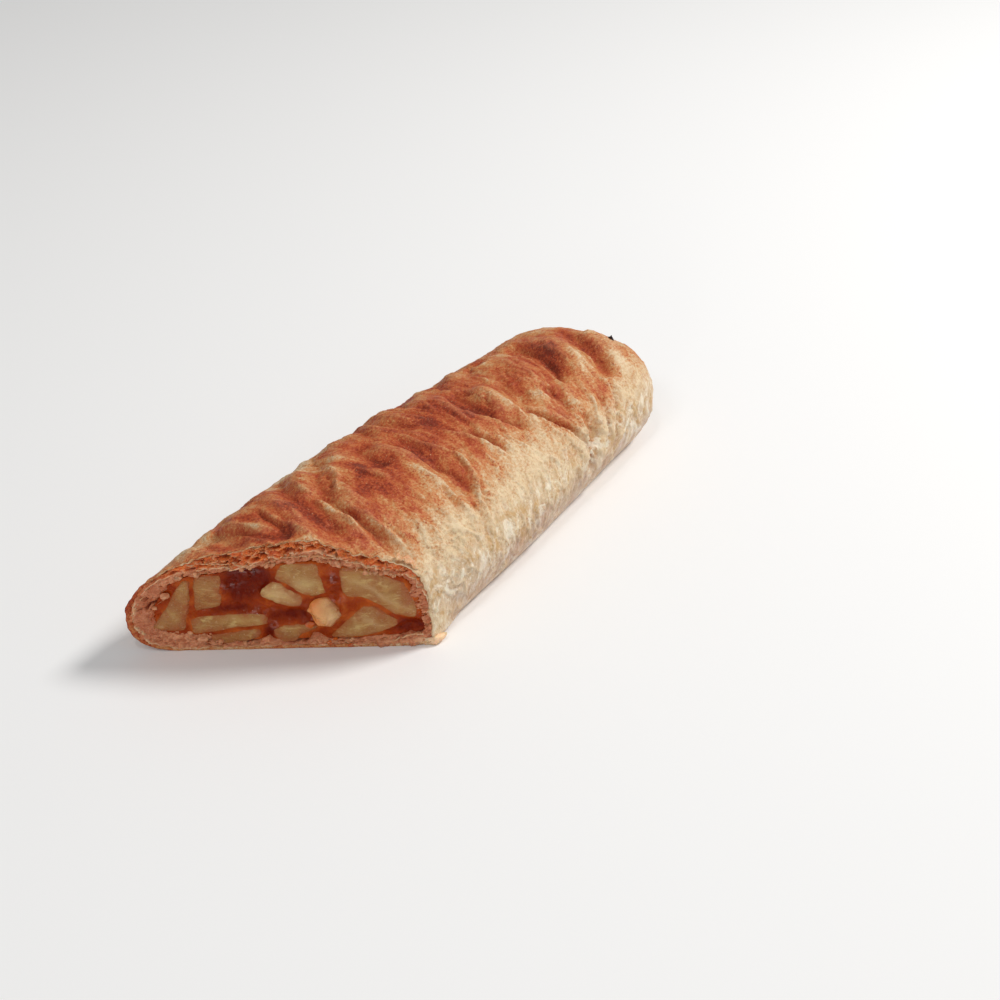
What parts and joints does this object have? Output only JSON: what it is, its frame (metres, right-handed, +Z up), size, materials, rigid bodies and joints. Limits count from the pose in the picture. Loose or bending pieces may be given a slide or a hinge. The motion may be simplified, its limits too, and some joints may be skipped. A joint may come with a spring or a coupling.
{
  "type": "apple strudel",
  "caption": "Half of a baked apple strudel roll, cut on the slant, with diced apple and dark cooked filling showing inside browned, creased pastry.",
  "frame": {"origin": "under the middle of the roll, on the surface that it lies on", "axes": "+X along the roll, from the slanting cut towards the closed end; +Z up; +Y to the left, seen from the cut"},
  "size_m": [0.189, 0.0708, 0.0374],
  "materials": {
    "pastry": "baked pastry, tan to red-brown on top and cream at the sides, dull with a faint sheen",
    "filling": "dark red-brown cooked filling, wet and glossy",
    "apple": "cooked apple, pale yellow-brown, translucent and moist"
  },
  "bodies": {
    "root": {"pastry": "pastry", "filling": "filling", "apple_1": "apple", "apple_2": "apple", "apple_3": "apple", "apple_4": "apple", "apple_5": "apple", "apple_6": "apple", "apple_7": "apple", "apple_8": "apple", "apple_9": "apple", "apple_10": "apple"}
  },
  "joints": []
}
